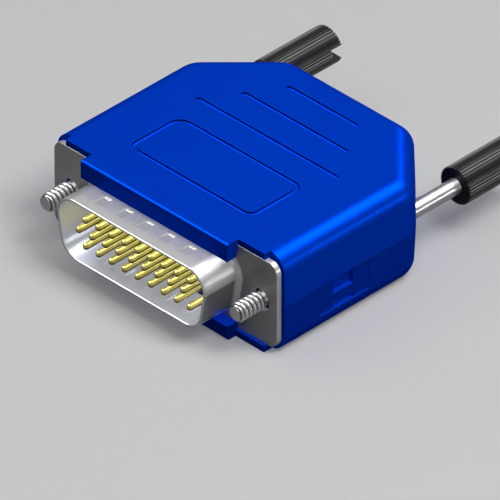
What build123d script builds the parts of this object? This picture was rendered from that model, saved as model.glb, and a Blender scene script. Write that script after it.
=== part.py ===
from build123d import *
from math import cos, pi, radians, sin, sqrt, tan
import os

os.makedirs("parts", exist_ok=True)

# High-density D-sub cable plug in a snap-together hood. Millimetres.
# X runs across the plug, +Y back towards the cable, +Z up.
# The origin is the centre of the mating face: the front of the flange, level with both jackscrews.

# Steel shells, drawn from one gauge of sheet
sheet = 0.385              # thickness of the sheet
flange_height = 12.55
flange_corner = 1.5        # radius of the flange's corners
screw_margin = 4.035       # each jackscrew's centre beyond the plug skirt's inside
flange_ear = 2.91          # flange beyond each jackscrew's centre
screw_hole = 3.05          # diameter of the flange's screw holes

# Plug skirt, a D with its wide side up
plug_width = 25.25         # inside, at the widest
plug_height = 8.36         # inside
plug_corner = 2.6          # inside corner radius
plug_slope = 10.0          # lean of the two short sides, degrees
plug_depth = 6.0           # skirt standing in front of the flange
root_flare = 0.5           # bevel where the skirt meets the flange
lip_bevel = 0.1            # bevel of the skirt's front edge

# Dimples pressed into the skirt's two long sides
dimple_count = 5
dimple_pitch = 3.7
dimple_width = 1.4
dimple_front = 4.36        # distance in front of the flange where the ramp starts
dimple_length = 1.93
dimple_depth = 0.3

# Rear shell, a box that closes behind the flange
rear_side = 0.745          # rear shell's inside beyond the plug's inside, each side
rear_rise = 0.795          # the same above and below
rear_corner = 1.6          # outside corner radius
rear_depth = 5.0           # from the mating face to the inside of its turned-in end
rear_turn = 0.77           # reach of the turned-in end from the shell's inside
rear_mouth_corner = 1.2

# Contacts
rows = 3
contacts_per_row = 9
contact_pitch = 2.29
row_pitch = 1.98
row_shift = 0.57           # the middle row stands this far one way, the others the other way
pin_diameter = 1.0
pin_reach = 5.7            # pin tip in front of the mating face
pin_bevel = 0.32           # bevel of the pin's tip
contact_sides = 6          # turned contacts are drawn with this many flats
collar_diameter = 1.24     # retaining collar between the two insulators
collar_length = 0.7
barrel_diameter = 1.1      # body behind the collar, with the solder cup in its end
cup_bore = 0.8
cup_reach = 2.4            # cup's end behind the rear insulator
cup_depth = 1.9

# Insulators
joint_plane = 3.3          # where the two insulators meet
boss_end = 8.0             # back of the rear insulator
mould_clearance = 0.05     # moulded blocks in the shells
contact_clearance = 0.03   # contacts in the insulators, on the radius

# Hood, two halves that meet at Z = 0
hood_side = 3.44           # from each jackscrew's centre to the side, at the parting line
ceiling_gap = 0.39         # rear shell to the inside of the hood, above and below
hood_back = 33.2           # rear face
rear_corner_cut = 9.25     # width of each slanted rear corner
blank_front = 9.0          # hood's blank runs this far ahead before its front is cut
draft = 2.25               # degrees
wall = 1.5
top_radius = 2.5           # rounding of the long upper edges
corner_radius = 4.0        # rounding of the slanted corners, seen from above
face_wall = 1.4            # wall behind the flange
flange_clearance = 0.03    # round the flange in its slot
opening_clearance = 0.1    # round the rear shell

# Front tongues and lips that hold the flange
tongue_margin = 0.22       # tongue beyond the plug's inside, each side
tongue_reach = 1.94        # in front of the mating face
upper_tongue_gap = 0.08    # over the skirt
lower_tongue_gap = 0.55
tongue_round = 0.5         # rounding of the front outer edge
upper_lip_ear = 0.76       # end of the lips beyond each jackscrew's centre
lower_lip_ear = 1.14
upper_lip_reach = 0.0      # in front of the mating face
lower_lip_reach = 0.45
rim_step = 0.2             # rim beyond the lips, behind the flange

# Grooves in the upper half
groove_width = 0.9
groove_depth = 0.3
frame_width = 22.2         # outside of the label frame
frame_front = 3.95
frame_back = 13.7
frame_corner = 2.0
grip_lengths = (24.8, 18.4, 12.3)
grip_back = 18.3           # rear side of the first grip groove
grip_pitch = 4.87

# Snap latches in both sides
panel_front = 7.3          # shallow panel round each latch
panel_back = 15.8
panel_foot = 4.6           # below the parting line
panel_depth = 0.18
latch_front = 9.6
latch_back = 13.1
window_foot = 2.4          # window between the parting line and the bar
bar_foot = 3.9             # lower edge of the bar
bar_thickness = 1.0
barb_reach = 0.73          # the barb's face lies this far inside the panel
latch_clearance = 0.05
tab_play = 0.31            # tab to the jackscrew's shaft
tab_root = 2.0             # height of the tab's root on the upper half
tab_slope = 0.32           # how far the tab's shoulder leans out over the bar
barb_land = 0.35           # height of the barb's outer face

# Jackscrews
thread_diameter = 2.56
thread_end = -0.2          # back end of the threaded length, clear of the flange
tip_reach = 4.4            # tip in front of the mating face
tip_diameter = 2.2
shaft_diameter = 2.2
shaft_grip = 8.6           # length of the shaft inside the knob
travel = 4.0               # how far each jackscrew pulls back
running_clearance = 0.05   # on the radius, and each side of a ring in its groove
ring_place = 15.8          # middle of the retaining ring
ring_thickness = 0.4
ring_diameter = 3.7
ring_groove_diameter = 1.5
ring_mouth = 1.3
stop_gap = 0.1             # ring to its stop at each end of the travel
rib_thickness = 1.0

# Knobs
knob_diameter = 5.26
knob_gap = 1.2             # hood's rear face to the knob
knob_length = 11.1
spline_count = 38
spline_depth = 0.2
slot_width = 1.94
slot_depth = 1.77
knob_clearance = 0.02

# Inside of the hood
side_wall = 0.8            # wall between the wires and each jackscrew
cable_bore = 8.4           # cable entry in the rear face
clamp_bore = 7.2           # throat of the cable clamp
clamp_arch = 9.8           # outside of the clamp's arch
clamp_inset = 8.4          # clamp's front ahead of the hood's rear face
clamp_width = 5.0
clamp_ear = 2.3            # lug beyond each screw's centre
clamp_lug_height = 2.0
clamp_gap = 0.6            # between the two saddles
clamp_screw_spacing = 13.8
clamp_screw_diameter = 2.2
clamp_head_diameter = 3.8
clamp_head_height = 1.3
nut_across_flats = 4.0
nut_height = 1.6
fastener_sides = 12        # small hidden fasteners and their holes are drawn with this many flats
seat_clearance = 0.05      # saddle in its seat
key_spacing = 15.0         # locating keys in the rim of the rear wall
key_length = 2.4
key_thickness = 0.7
key_height = 0.8

# Worked-out places
screw_x = plug_width / 2 + screw_margin
flange_width = 2 * (screw_x + flange_ear)
flange_back = 2 * sheet
rear_width = plug_width + 2 * (rear_side + sheet)
rear_height = plug_height + 2 * (rear_rise + sheet)
rear_mouth_width = rear_width - 2 * (sheet + rear_turn)
rear_mouth_height = rear_height - 2 * (sheet + rear_turn)
hood_width = 2 * (screw_x + hood_side)
ceiling = rear_height / 2 + ceiling_gap
half_height = ceiling + wall
rim_front = flange_back + rim_step
face_back = flange_back + face_wall
shaft_radius = shaft_diameter / 2
slant = hood_width / 2 + hood_back - rear_corner_cut
side_lean = tan(radians(draft))
panel_x = hood_width / 2 - panel_depth
tab_thickness = hood_side - panel_depth - bar_thickness - latch_clearance - tab_play - shaft_radius
ring_front = ring_place - ring_thickness / 2 - stop_gap
ring_back = ring_place + ring_thickness / 2 + travel + stop_gap
knob_front = hood_back + knob_gap
shaft_end = knob_front + shaft_grip
clamp_front = hood_back - clamp_inset
clamp_lug_reach = clamp_screw_spacing / 2 + clamp_ear
key_place = hood_back - wall / 2
rib_notch = shaft_radius + running_clearance
face_notch = screw_hole / 2 + running_clearance


def slab(sketch, front, back):
    """Extrude a sketch drawn in X and Z from Y = front to Y = back."""
    return extrude(Plane.XZ.offset(-back) * sketch, amount=back - front, dir=(0, -1, 0))


def block(left, right, front, back, low, high):
    """Box between six planes."""
    return Pos((left + right) / 2, (front + back) / 2, (low + high) / 2) * Box(
        right - left, back - front, high - low)


def rod(diameter, front, back, x=0, z=0):
    """Round bar along Y."""
    return slab(Pos(x, z) * Circle(diameter / 2), front, back)


def small_round(diameter):
    """Outline of a small hidden fastener or its hole, round but for its flats."""
    return RegularPolygon(diameter / 2, fastener_sides, major_radius=False)


def turned(points):
    """Turn a half section, given as (radius, y) points, about the Y axis."""
    return revolve(make_face(Polyline(*points, close=True)), axis=Axis.Y)


def both_sides(solid):
    """The solid and its mirror image across the plug."""
    return solid + mirror(solid, about=Plane.YZ)


def d_outline(grow):
    """D of the plug skirt's inside, grown outwards by a distance."""
    radius = plug_corner + grow
    height = plug_height + 2 * grow
    wide = plug_width / 2 + grow + radius * (1 / tan(radians((90 - plug_slope) / 2)) - 1)
    narrow = wide - height * tan(radians(plug_slope))
    sharp = Polygon((-narrow, -height / 2), (narrow, -height / 2), (wide, height / 2),
                    (-wide, height / 2), align=None)
    return fillet(sharp.vertices(), radius)


def dimple(sink, widen, run_on):
    """Ramped wedge of one dimple on the upper side, with its skin at height zero."""
    front = -dimple_front
    back = -dimple_front + dimple_length
    ramp = [(front, 0), (back, -sink), (back + run_on, -sink)] if run_on else [(front, 0), (back, -sink)]
    profile = Polygon(*ramp, (back + run_on, sheet / 4), (front, sheet / 4), align=None)
    width = dimple_width + 2 * widen
    return extrude(Plane.YZ.offset(-width / 2) * profile, amount=width)


def dimple_places():
    return [(i - (dimple_count - 1) / 2) * dimple_pitch for i in range(dimple_count)]


def at_mouth(edge, y, reach):
    """True for an edge of the skirt's outline in the plane Y = y."""
    points = [edge.position_at(share) for share in (0.1, 0.5, 0.9)]
    return all(abs(point.Y - y) < 1e-4 and abs(point.X) < plug_width / 2 + reach
               and abs(point.Z) < plug_height / 2 + reach for point in points)


def flange_plate(front, back):
    plate = slab(RectangleRounded(flange_width, flange_height, flange_corner), front, back)
    for side in (-1, 1):
        plate -= rod(screw_hole, front - 1, back + 1, side * screw_x)
    return plate


def make_front_shell():
    """Flange with the drawn D skirt and its dimples."""
    shell = flange_plate(0, sheet) + slab(d_outline(sheet), -plug_depth, sheet)
    shell = chamfer(shell.edges().filter_by(lambda e: at_mouth(e, 0, sheet + 0.2)), root_flare)
    shell -= slab(d_outline(0), -plug_depth - 1, sheet + 1)
    shell = chamfer(shell.edges().filter_by(lambda e: at_mouth(e, sheet, 0.2)), root_flare)
    mouth = shell.edges().filter_by(lambda e: at_mouth(e, -plug_depth, sheet + 0.2))
    shell = chamfer(mouth, lip_bevel)
    skin = plug_height / 2
    for x in dimple_places():
        for place in (Pos(x, 0, 0), Pos(x, 0, 0) * Rot(0, 180, 0)):
            shell += place * Pos(0, 0, skin) * dimple(dimple_depth, 0.2, dimple_depth)
            shell -= place * Pos(0, 0, skin + sheet) * dimple(dimple_depth, 0, 0)
    return shell


def make_rear_shell():
    """Flange plate with a box skirt whose end is turned in over the rear insulator."""
    outside = RectangleRounded(rear_width, rear_height, rear_corner)
    inside = RectangleRounded(rear_width - 2 * sheet, rear_height - 2 * sheet, rear_corner - sheet)
    mouth = RectangleRounded(rear_mouth_width, rear_mouth_height, rear_mouth_corner)
    shell = flange_plate(sheet, flange_back) + slab(outside, sheet, rear_depth + sheet)
    shell -= slab(inside, sheet - 1, rear_depth)
    return shell - slab(mouth, rear_depth - 1, rear_depth + 1)


def contact_places():
    """X and Z of every contact, row by row from the top, left to right."""
    places = []
    for row in range(rows):
        z = (1 - row) * row_pitch
        shift = row_shift if row % 2 == 0 else -row_shift
        for i in range(contacts_per_row):
            places.append((shift + (i - (contacts_per_row - 1) / 2) * contact_pitch, z))
    return places


def cut_corners(width, height, corner):
    """Rectangle with its corners cut off, for a block in a mouth with round corners."""
    return chamfer(Rectangle(width, height).vertices(), corner)


def insulator_block(front, back):
    """Block that fills the rear shell's box between two planes."""
    play = 2 * (sheet + mould_clearance)
    return slab(cut_corners(rear_width - play, rear_height - play, rear_corner), front, back)


def flats(diameter, front, back):
    """Turned length of a contact, or the hole round it, as a bar with flats."""
    return slab(RegularPolygon(diameter / 2, contact_sides, major_radius=False), front, back)


def pierce(body, diameter, front, back):
    """Cut a hole for every contact."""
    hole = flats(diameter + 2 * contact_clearance, front, back)
    return body - [Pos(x, 0, z) * hole for x, z in contact_places()]


def make_front_insulator():
    body = insulator_block(sheet + mould_clearance, joint_plane)
    body += slab(d_outline(-mould_clearance), 0, sheet + mould_clearance)
    return pierce(body, pin_diameter, -1, joint_plane + 1)


def make_rear_insulator():
    body = insulator_block(joint_plane, rear_depth - mould_clearance)
    boss = cut_corners(rear_mouth_width - 2 * mould_clearance,
                       rear_mouth_height - 2 * mould_clearance, rear_mouth_corner)
    body += slab(boss, joint_plane, boss_end)
    body = pierce(body, barrel_diameter, joint_plane - 1, boss_end + 1)
    return pierce(body, collar_diameter, joint_plane, joint_plane + collar_length + contact_clearance)


def make_contact():
    """Pin with a bevelled tip, a collar behind the front insulator, and a solder cup."""
    cup_end = boss_end + cup_reach
    pin = flats(pin_diameter, -pin_reach, joint_plane)
    pin = chamfer(pin.faces().sort_by(Axis.Y)[0].edges(), pin_bevel)
    body = pin + flats(collar_diameter, joint_plane, joint_plane + collar_length)
    body += flats(barrel_diameter, joint_plane + collar_length, cup_end)
    return body - flats(cup_bore, cup_end - cup_depth, cup_end + 1)


def hood_outline(inset):
    """Hood seen from above, pulled in by a distance, running on past the front; round only outside."""
    side = hood_width / 2 - inset
    back = hood_back - inset
    slanted = slant - inset * sqrt(2)
    points = [(-side, -blank_front), (side, -blank_front), (side, slanted - side), (slanted - back, back),
              (back - slanted, back), (-side, slanted - side)]
    sharp = Polygon(*points, align=None)
    if inset:
        return sharp
    return fillet(sharp.vertices().filter_by(lambda v: v.Y > 0), corner_radius)


def front_keep(tongue_gap, lip_ear, lip_reach):
    """Space that the tongue, the lips and the body behind the flange may take up."""
    far = hood_width
    lip_end = screw_x + lip_ear
    tongue_end = plug_width / 2 + tongue_margin
    keep = block(-far, far, rim_front, hood_back + 1, -1, half_height + 1)
    keep += block(-lip_end, lip_end, flange_back, rim_front + 1, -1, half_height + 1)
    keep += block(-lip_end, lip_end, -lip_reach, rim_front,
                  flange_height / 2 + flange_clearance, half_height + 1)
    tongue = block(-tongue_end, tongue_end, -tongue_reach, flange_back + 1,
                   plug_height / 2 + sheet + tongue_gap, half_height)
    front_top = tongue.edges().filter_by(Axis.X).group_by(Axis.Z)[-1].group_by(Axis.Y)[0]
    return keep + fillet(front_top, tongue_round)


def shaft_notches(solid, diameter, front, back):
    for side in (-1, 1):
        solid -= rod(diameter, front, back, side * screw_x)
    return solid


def make_hood_half(tongue_gap, lip_ear, lip_reach):
    """Upper half with everything that both halves share."""
    body = extrude(hood_outline(0), amount=half_height, taper=draft)
    body = fillet(body.faces().sort_by(Axis.Z)[-1].edges(), top_radius)
    body = body & front_keep(tongue_gap, lip_ear, lip_reach)
    cavity = extrude(hood_outline(wall), amount=ceiling, taper=draft)
    body -= cavity & block(-hood_width, hood_width, face_back, hood_back, -1, ceiling + 1)
    body -= slot_for_flange()
    body = body + inner_walls()
    for side in (-1, 1):
        body -= Pos(side * screw_x, 0, 0) * block(-face_notch, face_notch, -blank_front, face_back,
                                                  -1, face_notch)
    body = shaft_notches(body, shaft_diameter + 2 * running_clearance, ring_back + rib_thickness, hood_back)
    body = shaft_notches(body, ring_diameter + 2 * running_clearance, ring_front, ring_back)
    return body - rod(cable_bore, clamp_front - 2 * rib_thickness, hood_back + 1)


def slot_for_flange():
    """Slot for the flange, opening for the rear shell, and relief over the skirt's flare."""
    gap = flange_clearance
    slot = block(-flange_width, flange_width, -gap, flange_back, -1, flange_height / 2 + gap)
    opening = Rectangle(rear_width + 2 * opening_clearance, rear_height + 2 * opening_clearance)
    foot = plug_height / 2 + sheet
    reach = root_flare + upper_tongue_gap
    relief = Polygon((-reach, foot - 1), (0, foot - 1), (0, foot + reach), (-reach, foot), align=None)
    wedge = extrude(Plane.YZ.offset(-plug_width) * relief, amount=2 * plug_width)
    return slot + slab(opening, flange_back - 1, face_back + 1) + wedge


def inner_walls():
    """Walls beside the wires, notched ribs for the jackscrews, and the clamp seat."""
    inner = rear_width / 2 + opening_clearance + 0.05
    outer = hood_width / 2 - wall / 2
    end = slant - sqrt(2) * wall / 2 - inner
    top = ceiling + 0.5
    one_side = block(inner, inner + side_wall, face_back - 0.5, end, 0, top)
    for front in (ring_front - rib_thickness, ring_back):
        one_side += block(inner + side_wall / 2, outer, front, front + rib_thickness, 0, top)
        one_side -= block(screw_x - rib_notch, screw_x + rib_notch, front, front + rib_thickness,
                          -1, rib_notch)
    walls = both_sides(one_side)
    for front in (clamp_front - seat_clearance - rib_thickness, clamp_front + clamp_width + seat_clearance):
        walls += block(-clamp_lug_reach - 0.6, clamp_lug_reach + 0.6, front, front + rib_thickness, 0, top)
    pad = clamp_arch / 2 + seat_clearance
    walls += block(-3, 3, clamp_front, clamp_front + clamp_width, pad, top)
    shape = extrude(hood_outline(wall / 2), amount=ceiling + wall / 2, taper=draft)
    return walls & shape


def tab_section():
    """Section of the upper half's snap tab in the right side, as X and Z points."""
    face = panel_x - bar_thickness - latch_clearance
    inside = face - tab_thickness
    barb = panel_x - barb_reach
    foot = -bar_foot - latch_clearance
    ledge = -window_foot + latch_clearance
    shoulder = face + tab_slope
    return [(inside, tab_root), (face, tab_root), (face, 0), (shoulder, -window_foot / 2),
            (shoulder, ledge), (face, ledge), (face, foot), (barb, foot), (barb, foot - barb_land),
            (face, -panel_foot), (inside, -panel_foot)]


def keys(play):
    """The two locating keys across the parting line, or the slots for them with some play."""
    key = Box(key_length + 2 * play, key_thickness + 2 * play, 2 * (key_height + play))
    return Part() + [Pos(side * key_spacing / 2, key_place, 0) * key for side in (-1, 1)]


def make_upper_hood():
    """Upper half: label frame, grip grooves and a snap tab in each side."""
    body = make_hood_half(upper_tongue_gap, upper_lip_ear, upper_lip_reach)
    frame_length = frame_back - frame_front
    frame_middle = (frame_back + frame_front) / 2
    ring = RectangleRounded(frame_width, frame_length, frame_corner)
    ring -= RectangleRounded(frame_width - 2 * groove_width, frame_length - 2 * groove_width,
                             frame_corner - groove_width)
    grooves = Sketch() + Pos(0, frame_middle) * ring
    for i, length in enumerate(grip_lengths):
        place = Pos(0, grip_back - groove_width / 2 + i * grip_pitch)
        grooves += place * SlotOverall(length, groove_width)
    body -= extrude(Pos(0, 0, half_height - groove_depth) * grooves, amount=groove_depth + 1)
    profile = Polygon(*tab_section(), align=None)
    body += both_sides(slab(profile, latch_front + latch_clearance, latch_back - latch_clearance))
    return body - keys(seat_clearance)


def make_lower_hood():
    """Lower half: shallow side panels with the latch window, bar and notch, and two keys."""
    body = mirror(make_hood_half(lower_tongue_gap, lower_lip_ear, lower_lip_reach), about=Plane.XY)
    far = hood_width
    recess = Polygon((panel_x, 1), (far, 1), (far, -panel_foot),
                     (panel_x - panel_foot * side_lean, -panel_foot), align=None)
    bar_inside = panel_x - bar_thickness
    inside = bar_inside - tab_thickness - 3 * latch_clearance
    cut = slab(recess, panel_front, panel_back)
    cut += block(inside, far, latch_front, latch_back, -window_foot, 1)
    cut += block(inside, bar_inside, latch_front, latch_back, -panel_foot - latch_clearance, 1)
    cut += block(inside, far, latch_front, latch_back, -panel_foot, -bar_foot)
    body -= both_sides(cut)
    return body + keys(0)


def make_jackscrew():
    """Threaded tip, plain shaft and the groove for its retaining ring, about the Y axis."""
    thread = thread_diameter / 2
    groove = ring_groove_diameter / 2
    half = ring_thickness / 2 + running_clearance
    chamfer = thread - tip_diameter / 2
    return turned([(0, -tip_reach), (tip_diameter / 2, -tip_reach), (thread, chamfer - tip_reach),
                   (thread, thread_end), (shaft_radius, thread_end), (shaft_radius, ring_place - half),
                   (groove, ring_place - half), (groove, ring_place + half),
                   (shaft_radius, ring_place + half), (shaft_radius, shaft_end), (0, shaft_end)])


def make_ring():
    """Spring clip with a mouth below."""
    inside = ring_groove_diameter / 2 + running_clearance
    outline = Circle(ring_diameter / 2) - Circle(inside)
    outline -= Pos(0, -ring_diameter / 2) * Rectangle(ring_mouth, ring_diameter)
    return slab(outline, ring_place - ring_thickness / 2, ring_place + ring_thickness / 2)


def spline_outline():
    """Knob section: shallow rounded grooves all the way round, as one closed line."""
    points = []
    for i in range(spline_count):
        start = 2 * pi * i / spline_count
        for share, depth in ((0, 0), (0.44, 0), (0.72, spline_depth)):
            angle = start + 2 * pi * share / spline_count
            radius = knob_diameter / 2 - depth
            points.append((radius * cos(angle), radius * sin(angle)))
    return make_face(Polyline(*points, close=True))


def make_knob():
    """Splined knob with a driver slot and a blind bore for the shaft."""
    end = knob_front + knob_length
    radius = knob_diameter / 2
    body = slab(spline_outline(), knob_front, end)
    body -= rod(shaft_diameter + 2 * knob_clearance, knob_front - 1, shaft_end + knob_clearance)
    return body - block(-radius - 1, radius + 1, end - slot_depth, end + 1, -slot_width / 2, slot_width / 2)


def make_saddle():
    """Upper saddle of the cable clamp: an arch between two drilled lugs."""
    back = clamp_front + clamp_width
    low = clamp_gap / 2
    body = slab(Circle(clamp_arch / 2), clamp_front, back)
    body += block(-clamp_lug_reach, clamp_lug_reach, clamp_front, back, low, low + clamp_lug_height)
    body &= block(-clamp_lug_reach, clamp_lug_reach, clamp_front, back, low, clamp_arch)
    body -= rod(clamp_bore, clamp_front - 1, back + 1)
    hole = extrude(small_round(clamp_screw_diameter + 2 * running_clearance), amount=2 * clamp_lug_height)
    for side in (-1, 1):
        body -= Pos(side * clamp_screw_spacing / 2, clamp_front + clamp_width / 2, 0) * hole
    return body


def make_clamp_screw():
    """Slotted cheese-head screw, about the Z axis, its head on the upper lug."""
    seat = clamp_gap / 2 + clamp_lug_height
    tip = seat + nut_height + 0.5
    body = extrude(Pos(0, 0, -tip) * small_round(clamp_screw_diameter), amount=tip + seat)
    head = extrude(Pos(0, 0, seat) * small_round(clamp_head_diameter), amount=clamp_head_height)
    slot = block(-clamp_head_diameter, clamp_head_diameter, -0.3, 0.3,
                 seat + clamp_head_height - 0.6, seat + clamp_head_height + 1)
    return body + head - slot


def make_clamp_nut():
    """Hexagon nut under the lower lug."""
    top = -clamp_gap / 2 - clamp_lug_height
    outline = RegularPolygon(nut_across_flats / 2, 6, major_radius=False)
    outline -= small_round(clamp_screw_diameter + 2 * contact_clearance)
    return extrude(Pos(0, 0, top - nut_height) * outline, amount=nut_height)


nodes = {
    "front_shell": make_front_shell(),
    "rear_shell": make_rear_shell(),
    "front_insulator": make_front_insulator(),
    "rear_insulator": make_rear_insulator(),
    "upper_hood": make_upper_hood(),
    "lower_hood": make_lower_hood(),
}

contact = make_contact()
for number, (x, z) in enumerate(contact_places(), start=1):
    nodes[f"contact_{number:02d}"] = Pos(x, 0, z) * contact

saddle = make_saddle()
nodes["clamp_upper"] = saddle
nodes["clamp_lower"] = mirror(saddle, about=Plane.XY)

for side, name in ((-1, "left"), (1, "right")):
    axis = Pos(side * screw_x, 0, 0)
    nodes[f"{name}_jackscrew"] = axis * make_jackscrew()
    nodes[f"{name}_retaining_ring"] = axis * make_ring()
    nodes[f"{name}_knob"] = axis * make_knob()
    hole = Pos(side * clamp_screw_spacing / 2, clamp_front + clamp_width / 2, 0)
    nodes[f"{name}_clamp_screw"] = hole * make_clamp_screw()
    nodes[f"{name}_clamp_nut"] = hole * make_clamp_nut()

for name, solid in nodes.items():
    export_step(solid, f"parts/{name}.step")
    print(name, round(solid.volume, 3))
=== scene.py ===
import bpy
import bmesh
from math import cos, pi, radians, sin, tan
from mathutils import Matrix, Vector


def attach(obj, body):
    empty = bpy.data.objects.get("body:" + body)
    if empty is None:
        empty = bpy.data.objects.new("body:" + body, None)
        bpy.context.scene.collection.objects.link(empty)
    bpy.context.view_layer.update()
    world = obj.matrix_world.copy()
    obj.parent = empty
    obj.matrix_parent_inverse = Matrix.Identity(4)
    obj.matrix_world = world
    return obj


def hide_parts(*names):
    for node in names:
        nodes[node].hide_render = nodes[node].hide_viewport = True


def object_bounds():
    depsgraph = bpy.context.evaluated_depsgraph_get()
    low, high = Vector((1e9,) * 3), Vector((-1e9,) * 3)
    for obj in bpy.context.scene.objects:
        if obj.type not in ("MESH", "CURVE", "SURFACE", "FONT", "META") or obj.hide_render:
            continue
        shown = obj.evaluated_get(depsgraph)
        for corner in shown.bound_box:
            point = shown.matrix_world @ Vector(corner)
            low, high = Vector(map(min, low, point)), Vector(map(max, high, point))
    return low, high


# High-density D-sub cable plug in a snap-together hood.
# X runs across the plug, +Y back to the cable, +Z up, in metres.

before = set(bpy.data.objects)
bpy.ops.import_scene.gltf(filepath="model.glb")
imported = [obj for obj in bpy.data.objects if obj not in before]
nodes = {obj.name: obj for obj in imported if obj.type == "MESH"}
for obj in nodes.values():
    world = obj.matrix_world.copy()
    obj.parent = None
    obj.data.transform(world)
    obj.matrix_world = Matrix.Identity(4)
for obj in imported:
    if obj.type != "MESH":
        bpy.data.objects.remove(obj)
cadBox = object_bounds()
mm = 0.001
print("frame loaded,", len(nodes), "nodes")

# Sizes that several pieces and finishes need.
common = {"screwX": 16.66 * mm, "screwTip": -4.4 * mm, "sheet": 0.385 * mm, "pin": 0.5 * mm,
          "rowPitch": 1.98 * mm}


# Nodes and sums

class Wire:  # a node's socket that expressions can be written with
    def __init__(self, board, socket):
        self.board = board
        self.socket = socket

    def maths(self, operation, *others):
        inputs = dict(enumerate((self, *others)))
        return self.board.node("ShaderNodeMath", {"operation": operation}, inputs)

    def swapped(self, operation, other):
        return self.board.node("ShaderNodeMath", {"operation": operation}, {0: other, 1: self})

    def __add__(self, other):
        return self.maths("ADD", other)

    def __radd__(self, other):
        return self.swapped("ADD", other)

    def __sub__(self, other):
        return self.maths("SUBTRACT", other)

    def __rsub__(self, other):
        return self.swapped("SUBTRACT", other)

    def __mul__(self, other):
        return self.maths("MULTIPLY", other)

    def __rmul__(self, other):
        return self.swapped("MULTIPLY", other)

    def __truediv__(self, other):
        return self.maths("DIVIDE", other)

    def __rtruediv__(self, other):
        return self.swapped("DIVIDE", other)

    def held(self):  # kept between 0 and 1
        return self.maths("MAXIMUM", 0).maths("MINIMUM", 1)

    def beside(self, name):  # another output of the same node
        return Wire(self.board, self.socket.node.outputs[name])


class Board:  # a node tree, of a material, the world or Geometry Nodes
    def __init__(self, tree):
        self.tree = tree

    def feed(self, socket, value):
        if isinstance(value, Wire):
            self.tree.links.new(value.socket, socket)
        else:
            socket.default_value = value

    def node(self, kind, settings=None, inputs=None, output=0):
        made = self.tree.nodes.new(kind)
        for name, value in (settings or {}).items():
            if name == "stops":
                ramp = made.color_ramp
                while len(ramp.elements) < len(value):
                    ramp.elements.new(0.5)
                for stop, (place, colour) in zip(ramp.elements, value):
                    stop.position = place
                    stop.color = colour
            else:
                setattr(made, name, value)
        for name, value in (inputs or {}).items():
            self.feed(made.inputs[name], value)
        return Wire(self, made.outputs[output])

    def apart(self, vector):  # the X, Y and Z of a vector
        x = self.node("ShaderNodeSeparateXYZ", inputs={0: vector})
        return x, x.beside("Y"), x.beside("Z")

    def mix(self, share, low, high):  # a colour between two
        return self.node("ShaderNodeMix", {"data_type": "RGBA"}, {0: share, 6: low, 7: high}, output=2)

    def noise(self, place, scale, detail=2.0, roughness=0.5):
        return self.node("ShaderNodeTexNoise", inputs={
            "Vector": place, "Scale": scale, "Detail": detail, "Roughness": roughness})

    def relief(self, height, strength, depth):
        return self.node("ShaderNodeBump", inputs={
            "Strength": strength, "Distance": depth, "Height": height})

    def mark(self, name):  # a mesh attribute
        return self.node("ShaderNodeAttribute", {"attribute_name": name}, output="Fac")


def finishOf(name, fixed):  # a material with its plain values set on the shader itself
    material = bpy.data.materials.new(name)
    material.use_nodes = True
    board = Board(material.node_tree)
    shader = material.node_tree.nodes["Principled BSDF"]
    for socket, value in fixed.items():
        shader.inputs[socket].default_value = value
    return material, board, shader


def grey(level):
    return (level, level, level, 1)


# Materials

# Its shade is painted shade, a deep blue, for grooves, holes, front faces and the lower half's sides.
hoodLook = {"blue": (0.0, 0.040, 0.49, 1), "deepBlue": (0.0, 0.037, 0.46, 1),
            "shade": (0.0, 0.004, 0.045, 1), "shine": (0.0, 0.30, 1.0, 1), "pearl": 0.25,
            "roughness": 0.28, "patch": 90, "patchDulling": 0.10, "grain": 5200, "grainDulling": 0.06,
            "grainRelief": 0.5, "grainDepth": 0.002 * mm}


def makeHoodPlastic(look):  # a mesh attribute holds painted shade, a deeper blue, in grooves and holes, on faces to the front and on the lower half's sides
    material, board, shader = finishOf("hoodPlastic", {
        "Specular IOR Level": 0.0, "Metallic": look["pearl"], "Specular Tint": look["shine"]})
    place = board.node("ShaderNodeTexCoord", output="Object")
    patch = board.noise(place, look["patch"], 3.0, 0.6)
    grain = board.noise(place, look["grain"])
    colour = board.mix(patch, look["deepBlue"], look["blue"])
    board.feed(shader.inputs["Base Color"], board.mix(board.mark("shade"), colour, look["shade"]))
    dulled = look["roughness"] + look["patchDulling"] * patch + look["grainDulling"] * grain
    board.feed(shader.inputs["Roughness"], dulled)
    board.feed(shader.inputs["Normal"], board.relief(grain, look["grainRelief"], look["grainDepth"]))
    return material


# The face, side and ramp tones are painted shade, the step tone a painted highlight and the inside tone
# painted light.
steelLook = {"light": grey(0.49), "dark": grey(0.44), "roughness": 0.30, "metallic": 0.27, "cloud": 160,
             "scratch": 4000, "scratchDepth": 0.0003 * mm, "along": (1, 0.15, 1),
             "paintedFaceShade": grey(0.25), "faceDulled": 0.2, "faceDepth": 0.03 * mm,
             "paintedSideShade": grey(0.20), "paintedRampShade": grey(0.38), "paintedStepHighlight": grey(0.8), "stepGloss": 0.2,
             "paintedInsideLight": (0.83, 0.86, 1.0, 1)}
clampLook = {"light": grey(0.60), "dark": grey(0.48), "roughness": 0.34, "metallic": 0.8, "cloud": 160,
             "scratch": 4000, "scratchDepth": 0.0003 * mm, "along": (1, 1, 1)}
# Its grime is painted shade in the thread roots, kept off the outside and the tip.
screwLook = {"light": grey(0.48), "dark": grey(0.40), "roughness": 0.30, "metallic": 0.7, "cloud": 300,
             "scratch": 3000, "scratchDepth": 0.0001 * mm, "along": (1, 0.1, 1),
             "paintedRootShade": grey(0.04), "rootShadeInside": 1.02 * mm, "unshadedOutside": 1.15 * mm,
             "unshadedTip": 0.15 * mm, "tipShade": 0.45}
rolled = {"cloudDetail": 4.0, "cloudRoughness": 0.6, "scratchDetail": 3.0, "scratchRoughness": 0.7,
          "uneven": 0.10, "relief": 0.2}
dentMarks = {"side": 0.25, "ramp": 0.5, "step": 1.0}  # what the shell's attribute says of a face: painted shade on sides and ramps, a painted highlight on steps


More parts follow.
